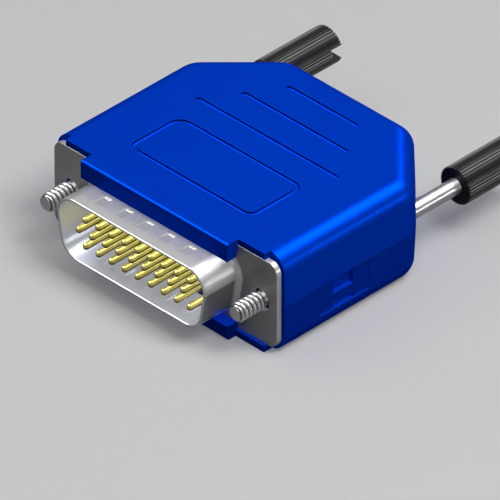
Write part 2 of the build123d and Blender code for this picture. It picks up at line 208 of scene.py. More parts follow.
def steelShades(board, place, look):  # cloudy colour and fine scratches along the drawing direction
    drawn = board.node("ShaderNodeMapping", inputs={"Vector": place, "Scale": look["along"]})
    cloud = board.noise(place, look["cloud"], rolled["cloudDetail"], rolled["cloudRoughness"])
    scratch = board.noise(drawn, look["scratch"], rolled["scratchDetail"], rolled["scratchRoughness"])
    return board.mix(cloud, look["dark"], look["light"]), cloud, scratch


def paintedShadeInRoots(board, place, look):  # painted shade: 1 close to either jackscrew's axis, as in its thread's roots
    x, y, z = board.apart(place)
    off = x.maths("ABSOLUTE") - common["screwX"]
    radius = (off * off + z * z).maths("SQRT")
    share = (look["unshadedOutside"] - radius) / (look["unshadedOutside"] - look["rootShadeInside"])
    behind = (y - common["screwTip"]) / look["unshadedTip"] + look["tipShade"]
    return share.maths("MINIMUM", behind).held()


def flangeFace(board, place, look):  # 1 on the flat front of the flange, which lies at Y = 0, where shade is painted
    y = board.apart(place)[1]
    return (1.5 - y.maths("ABSOLUTE") / look["faceDepth"]).held()


def shellShades(board, place, colour, look):  # the shell's face, sides, dimples and inside, in painted shade, highlight and light
    face, dent = flangeFace(board, place, look), board.mark("dent")
    side, ramp, step = (dent.maths("COMPARE", level, 0.1) for level in dentMarks.values())
    for share, tone in ((face, "paintedFaceShade"), (side, "paintedSideShade"), (ramp, "paintedRampShade"), (step, "paintedStepHighlight"),
                        (board.mark("inside"), "paintedInsideLight")):
        colour = board.mix(share, colour, look[tone])
    return colour, look["metallic"] - face * look["faceDulled"] + step * look["stepGloss"]


def makeSteel(name, look):
    material, board, shader = finishOf(name, {"Metallic": look["metallic"]})
    place = board.node("ShaderNodeTexCoord", output="Object")
    colour, cloud, scratch = steelShades(board, place, look)
    # The shell gets painted shade, a painted highlight and painted light.
    if "paintedFaceShade" in look:
        colour, metallic = shellShades(board, place, colour, look)
        board.feed(shader.inputs["Metallic"], metallic)
    # Shade is painted into the screws' thread roots.
    if "paintedRootShade" in look:
        colour = board.mix(paintedShadeInRoots(board, place, look), colour, look["paintedRootShade"])
    board.feed(shader.inputs["Base Color"], colour)
    dulled = look["roughness"] + rolled["uneven"] * (cloud - 0.5) + rolled["uneven"] * (scratch - 0.5)
    board.feed(shader.inputs["Roughness"], dulled)
    board.feed(shader.inputs["Normal"], board.relief(scratch, rolled["relief"], look["scratchDepth"]))
    return material


# Its low side and tarnish tones are painted shade on the pins' lower sides.
goldLook = {"gold": (0.93, 0.84, 0.20, 1), "pale": (0.98, 0.92, 0.30, 1), "metallic": 0.45,
            "roughness": 0.24, "uneven": 0.12, "cloud": 700,
            "lowSide": (0.62, 0.53, 0.12, 1), "lowTop": 0.66, "lowBlend": 0.12,
            "paintedUnderShade": (0.10, 0.08, 0.01, 1), "darkTop": 0.18, "darkBlend": 0.2}


def makeGold(look):  # painted shade: every pin is darker on its lower side, by its height in its own row
    material, board, shader = finishOf("contactGold", {"Metallic": look["metallic"]})
    place = board.node("ShaderNodeTexCoord", output="Object")
    cloud = board.noise(place, look["cloud"], 3.0)
    colour = board.mix(cloud, look["gold"], look["pale"])
    rows = board.apart(place)[2] / common["rowPitch"] + 0.5
    height = (rows.maths("FRACT") - 0.5) * (common["rowPitch"] / common["pin"])
    for tone, top, blend in (("lowSide", "lowTop", "lowBlend"), ("paintedUnderShade", "darkTop", "darkBlend")):
        colour = board.mix(((look[top] - height) / look[blend]).held(), colour, look[tone])
    board.feed(shader.inputs["Base Color"], colour)
    board.feed(shader.inputs["Roughness"], look["roughness"] + look["uneven"] * (cloud - 0.5))
    return material


insulatorLook = {"tones": ((0.002, 0.010, 0.110, 1), (0.002, 0.008, 0.085, 1)), "specular": 0.3,
                 "roughness": 0.5, "grain": 4000}
knobLook = {"tones": ((0.006, 0.006, 0.007, 1), (0.012, 0.012, 0.013, 1)), "specular": 0.16,
            "roughness": 0.32, "grain": 3000}
moulded = {"uneven": 0.14, "relief": 0.4, "depth": 0.004 * mm}


def makePlainPlastic(name, look):  # moulded plastic with a slight grain
    material, board, shader = finishOf(name, {"Specular IOR Level": look["specular"]})
    place = board.node("ShaderNodeTexCoord", output="Object")
    grain = board.noise(place, look["grain"], 3.0)
    board.feed(shader.inputs["Base Color"], board.mix(grain, *look["tones"]))
    board.feed(shader.inputs["Roughness"], look["roughness"] + moulded["uneven"] * (grain - 0.5))
    board.feed(shader.inputs["Normal"], board.relief(grain, moulded["relief"], moulded["depth"]))
    return material


hoodPlastic = makeHoodPlastic(hoodLook)
shellSteel = makeSteel("shellSteel", steelLook)
screwSteel = makeSteel("screwSteel", screwLook)
clampSteel = makeSteel("clampSteel", clampLook)
contactGold = makeGold(goldLook)
insulatorPlastic = makePlainPlastic("insulatorPlastic", insulatorLook)
knobPlastic = makePlainPlastic("knobPlastic", knobLook)
print("materials made")


# Meshes

def pieceFrom(name, points, faces, smoothAngle=40):
    mesh = bpy.data.meshes.new(name)
    mesh.from_pydata(points, [], faces)
    piece = bpy.data.objects.new(name, mesh)
    bpy.context.scene.collection.objects.link(piece)
    tidyMesh(piece, smoothAngle)
    return piece


def tidyMesh(piece, smoothAngle, gap=0.001 * mm, turnOut=True):
    work = bmesh.new()
    work.from_mesh(piece.data)
    bmesh.ops.remove_doubles(work, verts=work.verts, dist=gap)
    if turnOut:
        bmesh.ops.recalc_face_normals(work, faces=work.faces)
    for face in work.faces:
        face.smooth = True
    for edge in work.edges:
        edge.smooth = len(edge.link_faces) == 2 and edge.calc_face_angle(0) < radians(smoothAngle)
    work.to_mesh(piece.data)
    work.free()


def dress(piece, material, body, replaced=()):
    piece.data.materials.clear()
    piece.data.materials.append(material)
    if body:
        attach(piece, body)
    if replaced:
        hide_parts(*replaced)
    return piece


def strips(rings):  # faces between rings that hold equally many points
    count = len(rings[0])
    points = [point for ring in rings for point in ring]
    faces = []
    for i in range(len(rings) - 1):
        low, high = i * count, (i + 1) * count
        for j in range(count):
            k = (j + 1) % count
            faces.append((low + j, low + k, high + k, high + j))
    return points, faces


def circle(x, z, radius, y, sides=32):
    return [(x + radius * cos(2 * pi * i / sides), y, z + radius * sin(2 * pi * i / sides))
            for i in range(sides)]


def turnedRings(profile, x, z, sides):  # rings about an axis along Y, from (radius, y) points
    return [circle(x, z, radius, y, sides) for radius, y in profile]


def addStrips(points, faces, rings, caps=(False, False)):
    start = len(points)
    more, moreFaces = strips(rings)
    points += more
    faces += [tuple(start + i for i in face) for face in moreFaces]
    count = len(rings[0])
    if caps[0]:
        faces.append(tuple(start + i for i in range(count)))
    if caps[1]:
        faces.append(tuple(len(points) - 1 - i for i in range(count)))


def fillFlat(points, faces, loops):  # flat face with holes, its loops given as rings of points
    work = bmesh.new()
    for loop in loops:
        corners = [work.verts.new(point) for point in loop]
        for i, corner in enumerate(corners):
            work.edges.new((corner, corners[(i + 1) % len(corners)]))
    bmesh.ops.triangle_fill(work, use_beauty=True, edges=work.edges[:])
    work.verts.index_update()
    start = len(points)
    points += [tuple(v.co) for v in work.verts]
    faces += [tuple(start + v.index for v in face.verts) for face in work.faces]
    work.free()


def roundedRectangle(width, height, radius, y, steps=8):
    ring = []
    for side, rise, first in ((1, 1, 0), (-1, 1, 90), (-1, -1, 180), (1, -1, 270)):
        for i in range(steps + 1):
            angle = radians(first + 90 * i / steps)
            ring.append((side * (width / 2 - radius) + radius * cos(angle), y,
                         rise * (height / 2 - radius) + radius * sin(angle)))
    return ring


def settle(piece):  # the result of the modifiers as a plain mesh
    bpy.context.view_layer.update()
    solid = piece.evaluated_get(bpy.context.evaluated_depsgraph_get())
    mesh = bpy.data.meshes.new_from_object(solid)
    piece.modifiers.clear()
    piece.data = mesh


def carried(piece, tree, values):  # Geometry Nodes result as a plain mesh
    modifier = piece.modifiers.new("build", "NODES")
    modifier.node_group = tree
    for item in tree.interface.items_tree:
        if item.in_out == "INPUT" and item.name in values:
            modifier[item.identifier] = values[item.name]
    settle(piece)
    return piece


def emptyPiece(name):
    piece = bpy.data.objects.new(name, bpy.data.meshes.new(name))
    bpy.context.scene.collection.objects.link(piece)
    return piece


def treeWith(name, sockets):  # a Geometry Nodes tree with named inputs
    tree = bpy.data.node_groups.new(name, "GeometryNodeTree")
    tree.interface.new_socket("Geometry", in_out="OUTPUT", socket_type="NodeSocketGeometry")
    for label, kind in sockets:
        tree.interface.new_socket(label, in_out="INPUT", socket_type="NodeSocket" + kind)
    board = Board(tree)
    gate = tree.nodes.new("NodeGroupInput")
    wires = {label: Wire(board, gate.outputs[label]) for label, kind in sockets}
    return tree, board, wires


def endTree(board, geometry, material):
    real = board.node("GeometryNodeRealizeInstances", inputs={0: geometry})
    painted = board.node("GeometryNodeSetMaterial", inputs={"Geometry": real, "Material": material})
    out = board.tree.nodes.new("NodeGroupOutput")
    board.feed(out.inputs[0], painted)


# Front shell: flange and drawn D skirt, from one sheet

shell = {"sheet": common["sheet"], "flangeWidth": 39.14 * mm, "flangeHeight": 12.55 * mm,
         "flangeCorner": 1.5 * mm, "screwX": common["screwX"], "screwHole": 3.05 * mm, "arcSteps": 8,
         "width": 25.25 * mm, "height": 8.36 * mm, "corner": 2.6 * mm, "slope": 10, "depth": 6.0 * mm,
         "root": 0.8 * mm, "dimples": 5, "dimplePitch": 3.7 * mm, "dimpleWidth": 1.4 * mm,
         "dimpleFront": -4.36 * mm, "dimpleBack": -2.43 * mm, "dimpleDepth": 0.21 * mm,
         "dimpleEdge": 0.035 * mm, "dimpleWall": 0.12 * mm, "edge": 0.05 * mm, "smoothAngle": 32,
         "crispAngle": 3, "crispBefore": 0.01 * mm, "crispBehind": 0.3 * mm,
         "stepTilt": 0.5, "rampTilt": 0.03, "uprightTilt": 0.3, "lowTilt": 0.1, "sideways": 0.3}


def dentDepth(x, y, widen):  # how deep the nearest dimple's wedge lies at a point of the long side
    half = shell["dimpleWidth"] / 2
    deepest = 0
    for i in range(shell["dimples"]):
        off = abs(x - (i - (shell["dimples"] - 1) / 2) * shell["dimplePitch"])
        across = min(1, max(0, (half + shell["dimpleEdge"] / 2 + widen - off) / shell["dimpleEdge"]))
        along = (y - shell["dimpleFront"]) / (shell["dimpleBack"] - shell["dimpleFront"])
        after = (shell["dimpleBack"] + shell["dimpleEdge"] + widen - y) / shell["dimpleEdge"]
        deepest = max(deepest, across * max(0, min(1, along, after)))
    return deepest * shell["dimpleDepth"]


def columnPlaces(widen):  # X of the columns along a long side, so that each dimple has crisp edges
    places = []
    for i in range(shell["dimples"]):
        middle = (i - (shell["dimples"] - 1) / 2) * shell["dimplePitch"]
        half = shell["dimpleWidth"] / 2 + widen
        for off in (-half - shell["dimpleEdge"] / 2, -half + shell["dimpleEdge"] / 2,
                    half - shell["dimpleEdge"] / 2, half + shell["dimpleEdge"] / 2):
            places.append(middle + off)
    return places


def dRing(grow, y, widen=0, steps=14):
    # Section of the skirt, grown outwards, counter-clockwise seen from the front.
    radius = shell["corner"] + grow
    topX = shell["width"] / 2 - shell["corner"]
    topZ = shell["height"] / 2 - shell["corner"]
    bottomX = topX - 2 * topZ * tan(radians(shell["slope"]))
    ring = []
    for x, z, first, last in ((bottomX, -topZ, -90, -shell["slope"]), (topX, topZ, -shell["slope"], 90)):
        for i in range(steps + 1):
            angle = radians(first + (last - first) * i / steps)
            ring.append((x + radius * cos(angle), y, z + radius * sin(angle)))
    for x in reversed(columnPlaces(widen)):
        ring.append((x, y, topZ + radius - dentDepth(x, y, widen)))
    for x, z, first, last in ((-topX, topZ, 90, 180 + shell["slope"]),
                              (-bottomX, -topZ, 180 + shell["slope"], 270)):
        for i in range(steps + 1):
            angle = radians(first + (last - first) * i / steps)
            ring.append((x + radius * cos(angle), y, z + radius * sin(angle)))
    for x in columnPlaces(widen):
        ring.append((x, y, -topZ - radius + dentDepth(x, y, widen)))
    return ring


def crispDents(piece):  # hard edges round each dimple, where the shell is flat
    work = bmesh.new()
    work.from_mesh(piece.data)
    across = (shell["dimples"] - 1) / 2 * shell["dimplePitch"] + shell["dimpleWidth"]
    level = shell["height"] / 2 - shell["dimpleDepth"] - shell["sheet"]
    front, back = shell["dimpleFront"] - shell["crispBefore"], shell["dimpleBack"] + shell["crispBehind"]
    for edge in work.edges:
        points = [v.co for v in edge.verts]
        flat = all(abs(p.x) < across and abs(p.z) > level and front < p.y < back for p in points)
        if flat and len(edge.link_faces) == 2 and edge.calc_face_angle(0) > radians(shell["crispAngle"]):
            edge.smooth = False
    work.to_mesh(piece.data)
    work.free()


def dentMark(middle, normal):  # what a face of the shell is: ramp or step of a dimple, lower side or none
    across = (shell["dimples"] - 1) / 2 * shell["dimplePitch"] + shell["dimpleWidth"]
    level = shell["height"] / 2 - shell["dimpleDepth"]
    outer = abs(middle.z) > level and abs(middle.x) < across and normal.z * middle.z > 0
    if outer and shell["dimpleFront"] < middle.y < shell["dimpleBack"] + shell["dimpleEdge"]:
        return "step" if normal.y < -shell["stepTilt"] else "ramp" if normal.y < -shell["rampTilt"] else None
    # Lower outer sides of the skirt get painted shade.
    outward = normal.x * middle.x > 0 and abs(normal.y) < shell["uprightTilt"]
    lowSide = normal.z < -shell["lowTilt"] and abs(normal.x) > shell["sideways"]
    return "side" if outward and lowSide and middle.y < -shell["root"] else None


def markDents(piece):  # an attribute that tells the steel each face's painted shade or highlight
    layer = piece.data.attributes.new("dent", "FLOAT", "FACE")
    for face in piece.data.polygons:
        layer.data[face.index].value = dentMarks.get(dentMark(face.center, face.normal), 0.0)


def markInside(piece):  # an attribute that is 1 on the inside of the skirt, where light is painted
    core = Vector((shell["width"] / 2 - shell["corner"], shell["height"] / 2 - shell["corner"]))
    lean = Vector((cos(radians(shell["slope"])), -sin(radians(shell["slope"]))))
    reach, rim = shell["corner"] + shell["sheet"] * 0.4, -shell["depth"] + shell["sheet"] / 4
    layer = piece.data.attributes.new("inside", "FLOAT", "POINT")
    for i, v in enumerate(piece.data.vertices):
        spot = Vector((abs(v.co.x), v.co.z)) - core
        beyond = max(spot.y, -spot.y - 2 * core.y, spot.dot(lean))
        if spot.y > 0 and spot.x > 0:
            beyond = spot.length
        layer.data[i].value = 1.0 if beyond < reach and v.co.y > rim else 0.0


def makeFrontShell():
    sheet, root, half, steps = shell["sheet"], shell["root"], shell["sheet"] / 2, shell["arcSteps"]
    breaks = [shell["dimpleBack"] + shell["dimpleEdge"], shell["dimpleBack"], shell["dimpleFront"]]
    rings = []
    for i in range(steps + 1):
        angle = radians(90 * i / steps)
        rings.append(dRing(sheet + root * (1 - sin(angle)), -root * (1 - cos(angle))))
    for y in breaks:
        rings.append(dRing(sheet, y))
    for i in range(steps + 1):
        angle = radians(180 * i / steps)
        rings.append(dRing(half + half * cos(angle), -shell["depth"] + half - half * sin(angle)))
    edge, wide = shell["edge"], shell["dimpleWall"]
    inner = root + sheet - edge
    for y in (breaks[2], breaks[1], breaks[1] + wide + shell["dimpleEdge"]):
        rings.append(dRing(0, y, wide))
    for i in range(steps + 1):
        angle = radians(90 * i / steps)
        rings.append(dRing(inner * (1 - cos(angle)), sheet - inner + inner * sin(angle), wide))
    points, faces = [], []
    addStrips(points, faces, rings)
    width, height, corner = shell["flangeWidth"], shell["flangeHeight"], shell["flangeCorner"]
    outer = [roundedRectangle(width - 2 * edge, height - 2 * edge, corner - edge, 0),
             roundedRectangle(width, height, corner, edge), roundedRectangle(width, height, corner, sheet)]
    addStrips(points, faces, outer)
    holeFronts, holeBacks = [], []
    for side in (-1, 1):
        hole = [circle(side * shell["screwX"], 0, shell["screwHole"] / 2 + grow, y)
                for grow, y in ((edge, 0), (0, edge), (0, sheet))]
        addStrips(points, faces, hole)
        holeFronts.append(hole[0])
        holeBacks.append(hole[2])
    fillFlat(points, faces, [outer[0], *holeFronts, rings[0]])
    fillFlat(points, faces, [outer[2], *holeBacks, rings[-1]])
    piece = pieceFrom("frontShell", points, faces, shell["smoothAngle"])
    crispDents(piece)
    markDents(piece)
    markInside(piece)
    return piece


dress(makeFrontShell(), shellSteel, "plug", ["front_shell"])
print("front shell made")


# Contacts and the insulator's face

contacts = {"rows": 3, "perRow": 9, "pitch": 2.29 * mm, "rowPitch": common["rowPitch"],
            "shift": 0.57 * mm, "pin": common["pin"], "collar": 0.62 * mm, "barrel": 0.55 * mm,
            "cup": 0.40 * mm, "tip": -5.7 * mm, "tipSteps": 6, "tipLength": 0.9, "joint": 3.3 * mm,
            "collarEnd": 4.0 * mm, "cupFloor": 8.5 * mm, "cupEnd": 10.4 * mm, "edge": 0.04 * mm,
            "sides": 20, "smoothAngle": 35}


def makeContact():  # one turned contact about the Y axis
    pin, collar, barrel, cup = (contacts[key] for key in ("pin", "collar", "barrel", "cup"))
    profile = []
    edge, steps = contacts["edge"], contacts["tipSteps"]
    for i in range(1, steps + 1):
        angle = radians(90 * i / steps)
        profile.append((pin * sin(angle), contacts["tip"] + pin * contacts["tipLength"] * (1 - cos(angle))))
    profile += [(pin, contacts["joint"]), (collar - edge, contacts["joint"]),
                (collar, contacts["joint"] + edge), (collar, contacts["collarEnd"] - edge),
                (collar - edge, contacts["collarEnd"]), (barrel, contacts["collarEnd"]),
                (barrel, contacts["cupEnd"] - edge), (barrel - edge, contacts["cupEnd"]),
                (cup, contacts["cupEnd"]), (cup, contacts["cupFloor"])]
    points, faces = [], []
    addStrips(points, faces, turnedRings(profile, 0, 0, contacts["sides"]), (True, True))
    return pieceFrom("contactShape", points, faces, contacts["smoothAngle"])


def makeContacts():
    sample = makeContact()
    tree, board, wires = treeWith("contactField", [
        ("Contact", "Object"), ("Rows", "Int"), ("Per Row", "Int"), ("Pitch", "Float"),
        ("Row Pitch", "Float"), ("Row Shift", "Float")])
    index = board.node("GeometryNodeInputIndex")
    row = (index / wires["Per Row"]).maths("FLOOR")
    column = index - row * wires["Per Row"]
    odd = row - 2 * (row / 2).maths("FLOOR")
    x = (column - (wires["Per Row"] - 1) / 2) * wires["Pitch"] + wires["Row Shift"] * (1 - 2 * odd)
    z = ((wires["Rows"] - 1) / 2 - row) * wires["Row Pitch"]
    place = board.node("ShaderNodeCombineXYZ", inputs={"X": x, "Z": z})
    spots = board.node("GeometryNodePoints", inputs={"Count": wires["Rows"] * wires["Per Row"],
                                                     "Position": place})
    shape = board.node("GeometryNodeObjectInfo", inputs={"Object": wires["Contact"]}, output="Geometry")
    field = board.node("GeometryNodeInstanceOnPoints", inputs={"Points": spots, "Instance": shape})
    endTree(board, field, contactGold)
    piece = carried(emptyPiece("contacts"), tree, {
        "Contact": sample, "Rows": contacts["rows"], "Per Row": contacts["perRow"],
        "Pitch": contacts["pitch"], "Row Pitch": contacts["rowPitch"], "Row Shift": contacts["shift"]})
    bpy.data.objects.remove(sample)
    return piece


dress(makeContacts(), contactGold, "plug", [n for n in nodes if n.startswith("contact_")])

insulator = {"play": 0.05 * mm, "step": 0.435 * mm, "back": contacts["joint"], "width": 26.64 * mm,
             "height": 9.85 * mm, "corner": 1.165 * mm, "hole": 0.53 * mm, "sink": 0.70 * mm,
             "sinkDepth": 0.2 * mm, "edge": 0.08 * mm, "smoothAngle": 30}


def contactPlaces():  # X and Z of every contact
    for row in range(contacts["rows"]):
        shift = contacts["shift"] * (1 - 2 * (row % 2))
        z = ((contacts["rows"] - 1) / 2 - row) * contacts["rowPitch"]
        for i in range(contacts["perRow"]):
            yield shift + (i - (contacts["perRow"] - 1) / 2) * contacts["pitch"], z


def makeInsulator():
    # The face is pierced and countersunk round every pin.
    points, faces = [], []
    edge, play = insulator["edge"], insulator["play"]
    skin = [dRing(-play - edge, 0), dRing(-play, edge), dRing(-play, insulator["step"])]
    block = [roundedRectangle(insulator["width"], insulator["height"], insulator["corner"], y)
             for y in (insulator["step"], insulator["back"])]
    addStrips(points, faces, skin)
    addStrips(points, faces, block)
    fronts, backs = [], []
    for x, z in contactPlaces():
        hole = [circle(x, z, radius, y, contacts["sides"]) for radius, y in (
            (insulator["sink"], 0), (insulator["hole"], insulator["sinkDepth"]),
            (insulator["hole"], insulator["back"]))]
        addStrips(points, faces, hole)
        fronts.append(hole[0])
        backs.append(hole[2])
    fillFlat(points, faces, [skin[0], *fronts])
    fillFlat(points, faces, [skin[-1], block[0]])
    fillFlat(points, faces, [block[1], *backs])
    return pieceFrom("frontInsulator", points, faces, insulator["smoothAngle"])


dress(makeInsulator(), insulatorPlastic, "plug", ["front_insulator"])
print("contacts and insulator made")


# Jackscrews

screw = {"x": common["screwX"], "crest": 1.28 * mm, "root": 0.94 * mm, "pitch": 0.72 * mm,
         "threadEnd": -0.2 * mm, "tip": common["screwTip"], "tipRadius": 1.0 * mm, "shaft": 1.1 * mm,
         "groove": 0.75 * mm, "ring": 15.8 * mm, "grooveHalf": 0.25 * mm, "end": 43.0 * mm,
         "edge": 0.06 * mm, "tipBevel": 0.06 * mm, "runOut": 0.35 * mm, "sides": 56, "rows": 130}


def makeThreadTree():
    # A tube whose radius rises and falls along a helix, fading out at both ends.
    tree, board, wires = treeWith("rolledThread", [
        ("Sides", "Int"), ("Rows", "Int"), ("Length", "Float"), ("Root", "Float"), ("Crest", "Float"),
        ("Pitch", "Float"), ("Run Out", "Float")])
    tube = board.node("GeometryNodeMeshCylinder", {"fill_type": "NONE"}, {
        "Vertices": wires["Sides"], "Side Segments": wires["Rows"], "Radius": 1.0,
        "Depth": wires["Length"]})
    x, y, z = board.apart(board.node("GeometryNodeInputPosition"))
    turn = y.maths("ARCTAN2", x) / (2 * pi)
    wave = (z / wires["Pitch"] - turn).maths("FRACT")
    off = wave * 2 - 1
    ridge = 1 - off * off
    fade = ((wires["Length"] / 2 - z.maths("ABSOLUTE")) / wires["Run Out"]).maths("MINIMUM", 1)
    radius = wires["Root"] + (wires["Crest"] - wires["Root"]) * ridge * fade
    scaled = board.node("ShaderNodeCombineXYZ", inputs={"X": x * radius, "Y": y * radius, "Z": z})
    shaped = board.node("GeometryNodeSetPosition", inputs={"Geometry": tube, "Position": scaled})
    endTree(board, shaped, screwSteel)
    return tree


def layAlongY(mesh, x, middle, turn):  # lays what stands on Z along Y, at its place
    mesh.transform(Matrix.Translation((x, middle, 0)) @ Matrix.Rotation(turn, 4, "X"))


def makeJackscrew(name, side, tree):
    length = screw["threadEnd"] - screw["tip"] - screw["tipBevel"]
    thread = carried(emptyPiece(name), tree, {
        "Sides": screw["sides"], "Rows": screw["rows"], "Length": length, "Root": screw["root"],
        "Crest": screw["crest"], "Pitch": screw["pitch"], "Run Out": screw["runOut"]})
    middle = screw["tip"] + screw["tipBevel"] + length / 2
    layAlongY(thread.data, side * screw["x"], middle, pi / 2)
    mesh = thread.data
    points = [tuple(v.co) for v in mesh.vertices]
    faces = [tuple(face.vertices) for face in mesh.polygons]
    edge, shaft, ring, half = screw["edge"], screw["shaft"], screw["ring"], screw["grooveHalf"]
    tip = [(screw["tipRadius"] - edge, screw["tip"]), (screw["root"], screw["tip"] + screw["tipBevel"])]
    addStrips(points, faces, turnedRings(tip, side * screw["x"], 0, screw["sides"]), (True, False))
    body = [(screw["root"], screw["threadEnd"]), (shaft - edge, screw["threadEnd"]),
            (shaft, screw["threadEnd"] + edge), (shaft, ring - half), (screw["groove"], ring - half),
            (screw["groove"], ring + half), (shaft, ring + half), (shaft, screw["end"])]
    addStrips(points, faces, turnedRings(body, side * screw["x"], 0, screw["sides"]), (False, True))
    bpy.data.objects.remove(thread)
    return pieceFrom(name, points, faces)


knob = {"x": common["screwX"], "front": 34.4 * mm, "length": 11.1 * mm, "radius": 2.63 * mm, "splines": 38,
        "splineDepth": 0.16 * mm, "perSpline": 8, "splineSteep": 4, "splineOffset": 1.6, "rows": 16,
        "bevel": 0.05 * mm, "slotWidth": 1.94 * mm, "slotDepth": 1.77 * mm, "smoothAngle": 28}


def makeKnobTree():
    # A closed barrel with a splined side, bevelled ends and a driver slot cut across one end.
    tree, board, wires = treeWith("splinedKnob", [
        ("Splines", "Int"), ("Per Spline", "Int"), ("Length", "Float"), ("Radius", "Float"),
        ("Spline Depth", "Float"), ("Bevel", "Float"), ("Slot Width", "Float"), ("Slot Depth", "Float")])
    barrel = board.node("GeometryNodeMeshCylinder", {"fill_type": "NGON"}, {
        "Vertices": wires["Splines"] * wires["Per Spline"], "Side Segments": knob["rows"], "Radius": 1.0,
        "Depth": wires["Length"]})
    x, y, z = board.apart(board.node("GeometryNodeInputPosition"))
    turn = y.maths("ARCTAN2", x) / (2 * pi) * wires["Splines"]
    wave = (turn.maths("FRACT") * 2 - 1).maths("ABSOLUTE")
    valley = (wave * knob["splineSteep"] - knob["splineOffset"]).held()
    fromEnd = (wires["Length"] / 2 - z.maths("ABSOLUTE")) / wires["Length"] * knob["rows"]
    atEnd = 1 - fromEnd.held()
    radius = wires["Radius"] - wires["Spline Depth"] * valley - wires["Bevel"] * atEnd
    # The row next to each end is drawn out to where the bevel starts.
    nextRow = (1 - (fromEnd - 1).maths("ABSOLUTE") * 2).maths("MAXIMUM", 0)
    shift = nextRow * (wires["Length"] / knob["rows"] - wires["Bevel"]) * z.maths("SIGN")
    scaled = board.node("ShaderNodeCombineXYZ", inputs={"X": x * radius, "Y": y * radius, "Z": z + shift})
    shaped = board.node("GeometryNodeSetPosition", inputs={"Geometry": barrel, "Position": scaled})
    size = board.node("ShaderNodeCombineXYZ", inputs={"X": wires["Radius"] * 4, "Y": wires["Slot Width"],
                                                      "Z": wires["Slot Depth"] * 2})
    cutter = board.node("GeometryNodeMeshCube", inputs={"Size": size})
    place = board.node("ShaderNodeCombineXYZ", inputs={"Z": wires["Length"] / 2})
    placed = board.node("GeometryNodeTransform", inputs={"Geometry": cutter, "Translation": place})
    cut = board.node("GeometryNodeMeshBoolean", {"operation": "DIFFERENCE", "solver": "EXACT"},
                     {"Mesh 1": shaped, "Mesh 2": placed})
    endTree(board, cut, knobPlastic)
    return tree


def makeKnob(name, side, tree):
    piece = carried(emptyPiece(name), tree, {
        "Splines": knob["splines"], "Per Spline": knob["perSpline"], "Length": knob["length"],
        "Radius": knob["radius"], "Spline Depth": knob["splineDepth"], "Bevel": knob["bevel"],
        "Slot Width": knob["slotWidth"], "Slot Depth": knob["slotDepth"]})
    middle = knob["front"] + knob["length"] / 2
    layAlongY(piece.data, side * knob["x"], middle, -pi / 2)
    tidyMesh(piece, knob["smoothAngle"])
    return piece


threadTree = makeThreadTree()
knobTree = makeKnobTree()
for side, word in ((-1, "left"), (1, "right")):
    dress(makeJackscrew(word + "Jackscrew", side, threadTree), screwSteel, word + "_screw",
          [word + "_jackscrew"])
    dress(makeKnob(word + "Knob", side, knobTree), knobPlastic, word + "_screw",
          [word + "_knob"])
print("jackscrews and knobs made")


# Hood halves: the CAD shapes with softened edges

hood = {"edge": 0.10 * mm, "edgeSteps": 2, "edgeAngle": 32, "smoothAngle": 40, "grooveDepth": 0.3 * mm,
        "grooveSink": 0.12 * mm, "grooveRound": 0.19 * mm, "grooveBrim": 0.04 * mm, "grooveSteps": 4,
        "squareAngle": 60, "holeReach": 2.2 * mm, "holeBack": 4.0 * mm, "frontShade": 0.5, "frontTilt": 0.8,
        "sideShade": 0.22, "sideTilt": 0.6, "near": 0.004 * mm, "weld": 0.002 * mm, "flatAngle": 0.6}


def softenRun(work, level, offset):  # rounds the right-angled edges at one height
    edges = [edge for edge in work.edges if all(abs(v.co.z - level) < hood["near"] for v in edge.verts)
             and edge.calc_face_angle(0) > radians(hood["squareAngle"])]
    made = bmesh.ops.bevel(work, geom=edges, offset=offset, offset_type="OFFSET", affect="EDGES",
                           segments=hood["grooveSteps"], profile=0.5, clamp_overlap=False)
    return made["faces"]


def shapeGrooves(work, shade):  # painted shade on the upright walls, a round floor and a crisp brim for every groove
    top = max(v.co.z for v in work.verts)
    floor = top - hood["grooveDepth"]
    low = [v for v in work.verts if abs(v.co.z - floor) < hood["near"]]
    for face in work.faces:
        heights = [v.co.z for v in face.verts]
        fromFloorToTop = abs(min(heights) - floor) < hood["near"] and top - max(heights) < hood["near"]
        if abs(face.normal.z) < 0.1 and fromFloorToTop:
            face[shade] = 1.0
    for v in low:
        v.co.z -= hood["grooveSink"]
    for face in softenRun(work, floor - hood["grooveSink"], hood["grooveRound"]):
        face[shade] = 0.0
    for face in softenRun(work, top, hood["grooveBrim"]):
        face[shade] = 0.0


def shadeHoles(work, shade):  # painted shade on the inside that the flange's screw holes show
    for face in work.faces:
        middle = face.calc_center_median()
        off = Vector((abs(middle.x) - common["screwX"], middle.z)).length
        if middle.y < hood["holeBack"] and off < hood["holeReach"]:
            face[shade] = 1.0


def shadeSides(work, shade, sides):  # painted shade, a deeper blue, on faces to the front and, on the lower half, on the sides
    for face in work.faces:
        inFront = face.normal.y < -hood["frontTilt"] and face.calc_center_median().y < common["sheet"]
        if face[shade] == 0 and inFront:
            face[shade] = hood["frontShade"]
        elif face[shade] == 0 and abs(face.normal.x) > hood["sideTilt"]:
            face[shade] = sides


